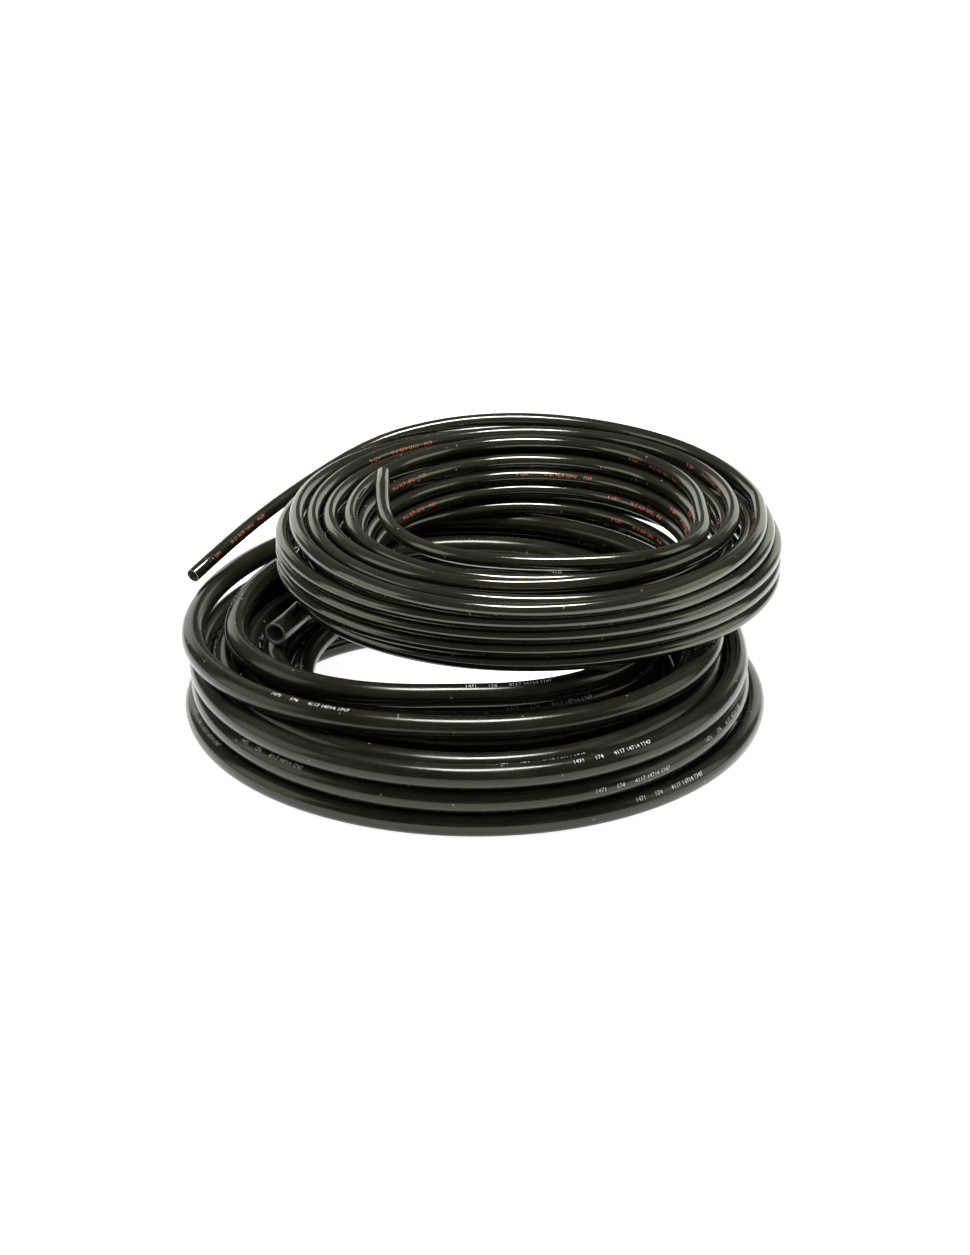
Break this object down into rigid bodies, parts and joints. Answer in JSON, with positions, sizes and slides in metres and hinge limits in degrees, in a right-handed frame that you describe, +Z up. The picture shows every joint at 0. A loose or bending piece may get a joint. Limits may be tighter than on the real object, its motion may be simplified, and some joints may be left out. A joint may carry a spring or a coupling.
{
  "type": "soaker hose",
  "caption": "Slim soaker hose wound in a loose coil that lies on a low wide coil of thicker soaker hose, both black, bare cut ends, for watering rows and beds.",
  "frame": {"origin": "centre of the pile's outline on the floor that it lies on", "axes": "+Z up; -Y towards the front of the pile, where the wide coil's open end faces; +X to the right as seen from the front. The slim coil lies to the back right."},
  "size_m": [0.6594, 0.6814, 0.2049],
  "materials": {
    "wide_hose": "semi-gloss, fine grain",
    "slim_hose": "semi-gloss, fine grain"
  },
  "bodies": {
    "wide_hose": {"wide_coil": "wide_hose", "wide_top_end": "wide_hose", "wide_floor_end": "wide_hose"},
    "slim_hose": {"slim_coil": "slim_hose", "slim_outer_end": "slim_hose", "slim_inner_end": "slim_hose"}
  },
  "joints": [
    {"name": "slim_hose_lift", "type": "slide", "parent": "wide_hose", "child": "slim_hose", "axis": [0, 0, 1], "range_m": [0, 0.25]}
  ]
}
